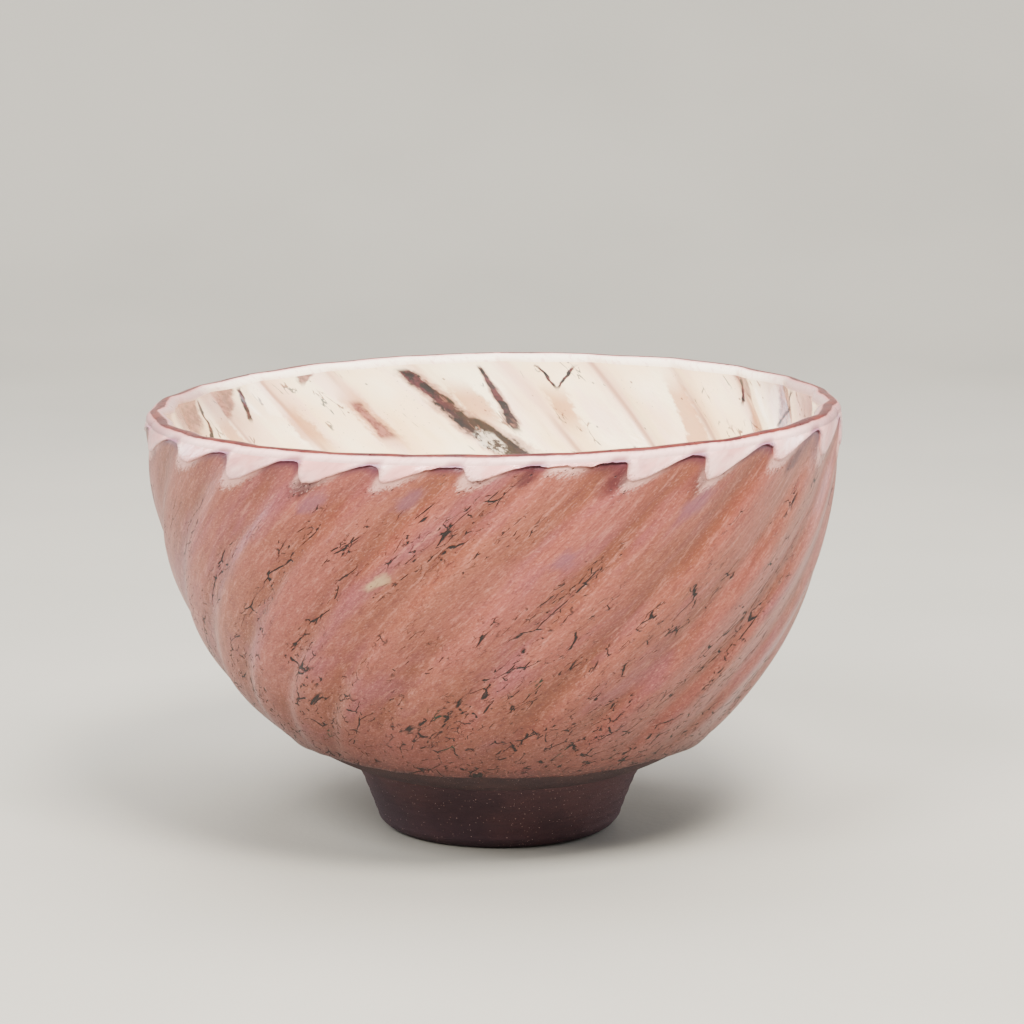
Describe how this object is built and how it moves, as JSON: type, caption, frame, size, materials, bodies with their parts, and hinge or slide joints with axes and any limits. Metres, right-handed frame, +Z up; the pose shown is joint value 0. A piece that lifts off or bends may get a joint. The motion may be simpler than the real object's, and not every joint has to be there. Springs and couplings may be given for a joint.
{
  "type": "matcha bowl",
  "caption": "Round tea bowl with twisted flutes inside and out, a pale run of glaze under a thin brown lip line, and an unglazed turned foot ring.",
  "frame": {"origin": "on the surface the bowl stands on, under the centre of the lip", "axes": "+Z up, the bowl's shortest extent; the lip's low side is towards -X, and +Y is away from the front"},
  "size_m": [0.1209, 0.121, 0.0756],
  "materials": {
    "clay_body": "bare fired clay, matt",
    "foot_clay": "dark bare fired clay, turned, matt",
    "outer_glaze": "satin copper-pink glaze with fine dark crackle and pinholes",
    "inner_glaze": "glossy cream glaze, browner in the creases",
    "rim_glaze": "glossy pale pink glaze run",
    "lip_glaze": "thin maroon-brown glaze on the lip"
  },
  "bodies": {
    "root": {"clay_body": "clay_body", "foot_ring": "foot_clay", "outer_glaze": "outer_glaze", "inner_glaze": "inner_glaze", "rim_glaze_run": "rim_glaze", "lip_line": "lip_glaze"}
  },
  "joints": []
}
